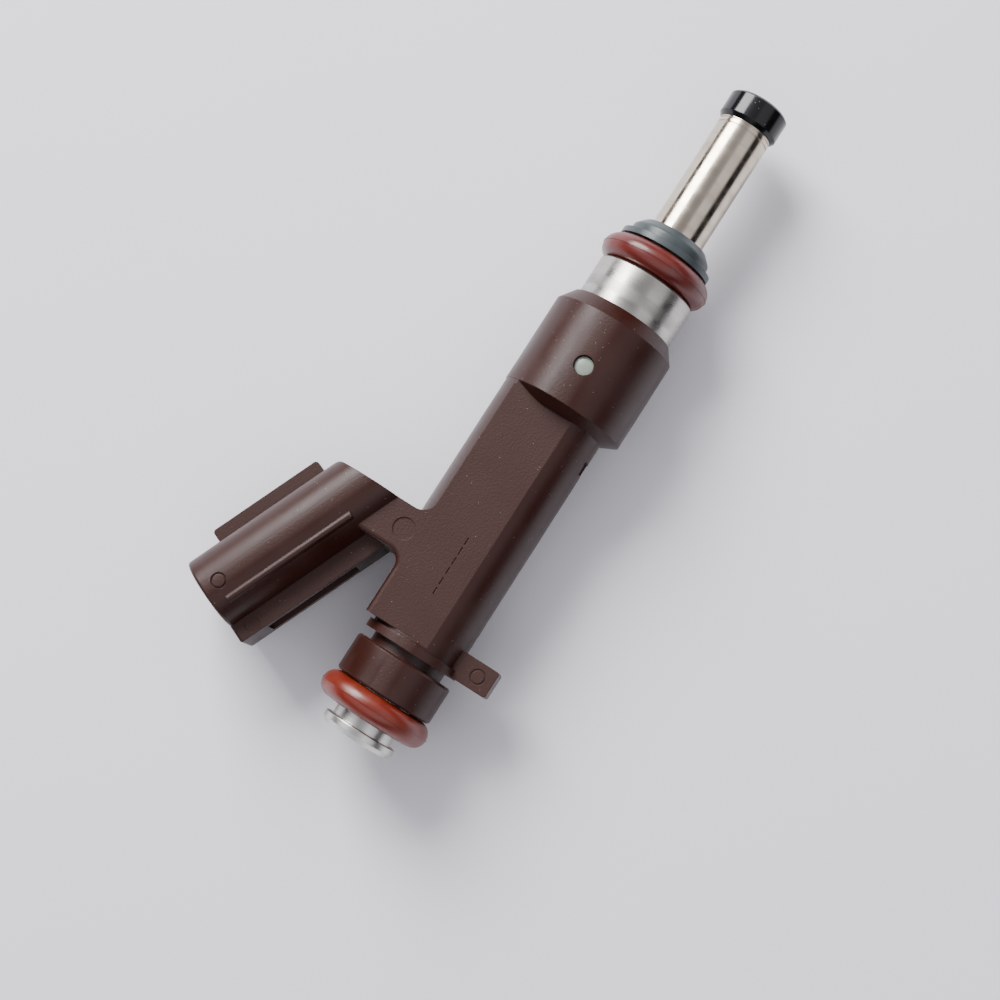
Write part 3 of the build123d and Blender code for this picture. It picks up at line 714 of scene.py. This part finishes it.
def add_piece(name: str, shape: Mesh, finish: Finish) -> bpy.types.Object:
    """Make a smooth mesh piece that rides on the injector's fixed body.

    Args:
        name: the piece's name.
        shape: its points, in metres, and its faces as indices into them.
        finish: what it is made of.

    Returns:
        The new object.
    """
    vertices, faces = shape
    mesh = bpy.data.meshes.new(name)
    mesh.from_pydata([tuple(v) for v in vertices], [], faces)
    mesh.validate()
    for face in mesh.polygons:
        face.use_smooth = True
    mesh.materials.append(finish.material())
    piece = bpy.data.objects.new(name, mesh)
    bpy.context.scene.collection.objects.link(piece)
    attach(piece, FIXED_BODY)
    LOG.info("%s: %d faces", name, len(faces))
    return piece


def swept_rings(outline: list[tuple[float, float]], segments: int) -> Mesh:
    """Turn a closed outline about the axis.

    Args:
        outline: its (x, radius) points, in order.
        segments: how many steps go round.

    Returns:
        The points and the faces.
    """
    count = len(outline)
    vertices = [
        Vector((x, radius * math.cos(2 * math.pi * step / segments),
                radius * math.sin(2 * math.pi * step / segments)))
        for step in range(segments)
        for x, radius in outline
    ]
    faces = [
        (step * count + i, step * count + (i + 1) % count,
         (step + 1) % segments * count + (i + 1) % count, (step + 1) % segments * count + i)
        for step in range(segments)
        for i in range(count)
    ]
    return vertices, faces


def tube_along(path: list[Vector], radius: float, sides: int, closed: bool) -> Mesh:
    """Run a round wire along a path.

    Args:
        path: the points that the wire's middle follows.
        radius: the wire's radius.
        sides: how many sides the wire has.
        closed: whether the wire joins up with itself.

    Returns:
        The points and the faces.
    """
    vertices, faces = [], []
    count = len(path)
    for i, point in enumerate(path):
        before = path[(i - 1) % count] if closed or i else path[0]
        after = path[(i + 1) % count] if closed or i + 1 < count else path[-1]
        along = (after - before).normalized()
        out = Vector((0, point.y, point.z)).normalized()
        out = (out - along * out.dot(along)).normalized()
        across = along.cross(out)
        for side in range(sides):
            angle = 2 * math.pi * side / sides
            vertices.append(point + (out * math.cos(angle) + across * math.sin(angle)) * radius)
    for i in range(count if closed else count - 1):
        for side in range(sides):
            nxt = (side + 1) % sides
            row, after_row = i * sides, (i + 1) % count * sides
            faces.append((row + side, row + nxt, after_row + nxt, after_row + side))
    if not closed:
        faces.append(tuple(range(sides)))
        faces.append(tuple(reversed(range((count - 1) * sides, count * sides))))
    return vertices, faces


def gather(parts: list[Mesh]) -> Mesh:
    """Put several meshes into one.

    Args:
        parts: the points and faces of each.

    Returns:
        The points and the faces of all.
    """
    vertices, faces = [], []
    for points, corners in parts:
        start = len(vertices)
        vertices.extend(points)
        faces.extend(tuple(start + i for i in face) for face in corners)
    return vertices, faces


# ---------------------------------------------------------------------------- sub-assemblies


@dataclass
class InletEnd:
    """The inlet pipe, its filter with a woven screen, and the rail seal."""

    wire_radius: float = 0.00004
    wire_sides: int = 4
    warp_count: int = 44
    weft_pitch: float = 0.00026
    ring_steps: int = 88

    def build(self) -> None:
        """Weave the screen that stands for the plain filter tube."""
        low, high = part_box("inlet_filter_mesh")
        radius = high.y - self.wire_radius * 2.2
        rows = int((high.x - low.x) / self.weft_pitch)
        parts = []
        for warp in range(self.warp_count):
            angle = 2 * math.pi * warp / self.warp_count
            out = Vector((0, math.cos(angle), math.sin(angle)))
            path = []
            for step in range(rows + 1):
                sway = self.wire_radius * (-1) ** (step + warp)
                x = low.x + (high.x - low.x) * step / rows
                path.append(Vector((x, 0, 0)) + out * (radius + sway))
            parts.append(tube_along(path, self.wire_radius, self.wire_sides, False))
        for row in range(1, rows):
            x = low.x + (high.x - low.x) * row / rows
            path = []
            for step in range(self.ring_steps):
                angle = 2 * math.pi * step / self.ring_steps
                sway = 0.0 if step % 2 else self.wire_radius * (-1) ** (row + step // 2 + 1)
                reach = radius + sway
                path.append(Vector((x, reach * math.cos(angle), reach * math.sin(angle))))
            parts.append(tube_along(path, self.wire_radius, self.wire_sides, True))
        screen = add_piece("filter_screen", gather(parts), FILTER_STEEL)
        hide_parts("inlet_filter_mesh")

    def dress(self) -> None:
        """Finish the inlet's CAD nodes."""
        dress_node("inlet_tube", PIPE_STEEL)
        dress_node("inlet_filter_frame", FILTER_PLASTIC)
        dress_node("inlet_filter_mesh", FILTER_STEEL)
        dress_node("rail_o_ring", ORANGE_RUBBER)


@dataclass
class MouldedBody:
    """The brown overmoulding with its plug socket, and the two terminals in it."""

    hole_radius: float = 0.00112
    hole_depth: float = 0.0005
    side_hole_along: float = 0.0044
    flat_hole_along: float = 0.0031
    dome: float = 0.0002
    barrel_radius: float = 0.0079
    barrel_shift: float = 0.0002
    rings: int = 6
    segments: int = 40

    def build(self) -> None:
        """Put a low dome of pale resin in each support-pin hole of the barrel."""
        housing_low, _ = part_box("magnetic_housing")
        for name, way, along in (
            ("side", Vector((0, 1, 0)), self.side_hole_along),
            ("upper", Vector((0, 0, 1)), self.flat_hole_along),
            ("lower", Vector((0, 0, -1)), self.flat_hole_along),
        ):
            start = self.barrel_radius + self.barrel_shift * way.y - self.hole_depth
            centre = Vector((housing_low.x + along, 0, 0)) + way * start
            across = Vector((1, 0, 0))
            third = way.cross(across)
            vertices, faces = [centre + way * self.dome], []
            for ring in range(1, self.rings + 1):
                radius = self.hole_radius * ring / self.rings
                lift = self.dome * (1 - (ring / self.rings) ** 2)
                for step in range(self.segments):
                    angle = 2 * math.pi * step / self.segments
                    vertices.append(
                        centre + way * lift
                        + (across * math.cos(angle) + third * math.sin(angle)) * radius
                    )
            for step in range(self.segments):
                nxt = (step + 1) % self.segments
                faces.append((0, 1 + step, 1 + nxt))
                for ring in range(self.rings - 1):
                    row = 1 + ring * self.segments
                    below = row + self.segments
                    faces.append((row + step, below + step, below + nxt, row + nxt))
            add_piece(
                f"pin_hole_resin_{name}", (vertices, faces), PALE_RESIN
            )

    def dress(self) -> None:
        """Finish the moulded body and the terminals."""
        dress_node("overmold_body", BROWN_PLASTIC)
        dress_node("terminal_a", TERMINAL_TIN)
        dress_node("terminal_b", TERMINAL_TIN)


@dataclass
class MagnetCoil:
    """The coil, its bobbin and the iron round it."""

    wire_pitch: float = 0.00021
    arc_steps: int = 5
    segments: int = 72

    def build(self) -> None:
        """Wind the coil turn by turn, in place of the plain winding."""
        low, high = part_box("coil_winding")
        outer = high.y
        inner = self.inner_radius(outer)
        turns = int((high.x - low.x) / self.wire_pitch)
        pitch = (high.x - low.x) / turns
        outline = []
        for turn in range(turns):
            centre = low.x + (turn + 0.5) * pitch
            for step in range(self.arc_steps):
                angle = math.pi * (1 - step / self.arc_steps)
                outline.append(
                    (centre + pitch / 2 * math.cos(angle),
                     outer - pitch / 2 + pitch / 2 * math.sin(angle))
                )
        outline += [(high.x, outer - pitch / 2), (high.x, inner), (low.x, inner)]
        coil = add_piece("wound_coil", swept_rings(outline, self.segments), COPPER_WIRE)
        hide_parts("coil_winding")

    def inner_radius(self, outer: float) -> float:
        """Find the winding's inner radius from its CAD mesh."""
        mesh = bpy.data.objects["coil_winding"].data
        return min([math.hypot(v.co.y, v.co.z) for v in mesh.vertices] + [outer])

    def dress(self) -> None:
        """Finish the coil's CAD nodes."""
        for node, finish in (
            ("magnetic_housing", HOUSING_STEEL),
            ("yoke_plate", MAGNET_IRON),
            ("fixed_core", MAGNET_IRON),
            ("nonmagnetic_ring", PIPE_STEEL),
            ("coil_bobbin", BOBBIN_PLASTIC),
            ("coil_winding", COPPER_WIRE),
        ):
            dress_node(node, finish)


@dataclass
class MovingValve:
    """The armature, needle and ball, and the spring that closes them."""

    def dress(self) -> None:
        """Finish the valve's CAD nodes."""
        dress_node("armature", MAGNET_IRON)
        for node in ("needle_tube", "valve_ball", "return_spring", "adjusting_tube"):
            dress_node(node, VALVE_STEEL)


@dataclass
class NozzleEnd:
    """The nozzle tube, its seat and plate, the tip ring and the manifold seal."""

    def dress(self) -> None:
        """Finish the nozzle's CAD nodes."""
        for node, finish in (
            ("valve_body", PIPE_STEEL),
            ("valve_seat", VALVE_STEEL),
            ("orifice_plate", VALVE_STEEL),
            ("nozzle_tube", NOZZLE_STEEL),
            ("nozzle_tip_ring", BLACK_PLASTIC),
            ("manifold_o_ring", RED_RUBBER),
            ("retainer_collar", GREY_PLASTIC),
        ):
            dress_node(node, finish)


# ---------------------------------------------------------------------------- studio


@dataclass
class Studio:
    """A pale sheet, soft light and the camera above the injector."""

    sheet_size: float = 3.0
    sheet_gap: float = 0.00002
    camera_place: Triple = (0.0125, -0.0320, 0.2336)
    camera_right: Triple = (0.5382, -0.8398, -0.0712)
    camera_up: Triple = (0.8384, 0.5249, 0.1467)
    lens: float = 72.0
    sensor: float = 36.0
    target: Triple = (0.045, 0.004, 0.0)
    key_way: Triple = (0.45, 0.66, 0.6)
    key_distance: float = 0.75
    key_size: float = 0.42
    key_power: float = 11.5
    fill_way: Triple = (-0.5, -0.3, 0.8)
    fill_distance: float = 0.9
    fill_size: float = 0.9
    fill_power: float = 0.8
    sky_bands: tuple[tuple[float, int], ...] = (
        (0.0, 120), (0.1, 30), (0.42, 35), (0.58, 235), (0.88, 240), (0.95, 160), (1.0, 145),
    )
    sky_strength: float = 1.12

    def build(self) -> None:
        """Set out the sheet, the lights, the sky and the camera."""
        self.lay_sheet()
        self.add_light("key_light", self.key_way, self.key_distance, self.key_size, self.key_power)
        self.add_light(
            "fill_light", self.fill_way, self.fill_distance, self.fill_size, self.fill_power
        )
        self.add_sky()
        self.add_camera()

    def add_sky(self) -> None:
        """Put a room round the studio: dark near the horizon, pale above, dim overhead."""
        world = bpy.data.worlds.new("soft_sky")
        world.use_nodes = True
        graph = Graph(world.node_tree)
        background = world.node_tree.nodes["Background"]
        axes = graph.add("ShaderNodeSeparateXYZ")
        graph.feed(axes.inputs[0], graph.add("ShaderNodeTexCoord").outputs["Generated"])
        ramp = graph.add("ShaderNodeValToRGB")
        graph.feed(ramp.inputs[0], axes.outputs[2])
        bands = ramp.color_ramp
        bands.interpolation = "EASE"
        while len(bands.elements) < len(self.sky_bands):
            bands.elements.new(1.0)
        for element, (height, tone) in zip(bands.elements, self.sky_bands):
            element.position = height
            element.color = opaque(linear(tone, tone, min(255, tone + 6)))
        graph.feed(background.inputs["Color"], ramp.outputs[0])
        background.inputs["Strength"].default_value = self.sky_strength
        bpy.context.scene.world = world

    def lay_sheet(self) -> None:
        """Lay the sheet just under the injector."""
        low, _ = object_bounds()
        half = self.sheet_size / 2
        mesh = bpy.data.meshes.new("paper_sheet")
        corners = [(x * half, y * half, low.z - self.sheet_gap)
                   for x, y in ((-1, -1), (1, -1), (1, 1), (-1, 1))]
        mesh.from_pydata(corners, [], [(0, 1, 2, 3)])
        mesh.materials.append(PAPER.material())
        sheet = bpy.data.objects.new("paper_sheet", mesh)
        bpy.context.scene.collection.objects.link(sheet)
        sheet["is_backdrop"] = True

    def add_light(
        self, name: str, way: Triple, distance: float, size: float, power: float
    ) -> None:
        """Hang a soft square light that faces the injector.

        Args:
            name: the light's name.
            way: which way it is from the injector.
            distance: how far it is.
            size: the length of its side.
            power: its watts.
        """
        light = bpy.data.lights.new(name, "AREA")
        light.shape = "SQUARE"
        light.size = size
        light.energy = power
        lamp = bpy.data.objects.new(name, light)
        bpy.context.scene.collection.objects.link(lamp)
        out = Vector(way).normalized()
        lamp.location = Vector(self.target) + out * distance
        lamp.rotation_euler = out.to_track_quat("Z", "Y").to_euler()

    def add_camera(self) -> None:
        """Put the camera above the injector, looking almost straight down."""
        camera = bpy.data.objects.new("camera", bpy.data.cameras.new("camera"))
        bpy.context.scene.collection.objects.link(camera)
        camera.data.lens = self.lens
        camera.data.sensor_width = self.sensor
        camera.data.clip_start = 0.01
        right = Vector(self.camera_right).normalized()
        up = Vector(self.camera_up)
        up = (up - right * up.dot(right)).normalized()
        turn = Matrix((right, up, right.cross(up))).transposed().to_4x4()
        camera.matrix_world = Matrix.Translation(Vector(self.camera_place)) @ turn
        bpy.context.scene.camera = camera


def main() -> None:
    """Load the CAD frame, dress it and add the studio."""
    logging.basicConfig(level=logging.INFO, format="%(name)s %(message)s")
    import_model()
    inlet, body, coil = InletEnd(), MouldedBody(), MagnetCoil()
    for assembly in (inlet, body, coil):
        assembly.build()
    for assembly in (inlet, body, coil, MovingValve(), NozzleEnd()):
        assembly.dress()
    Studio().build()
    LOG.info("boxes written")


if __name__ == "__main__":
    main()
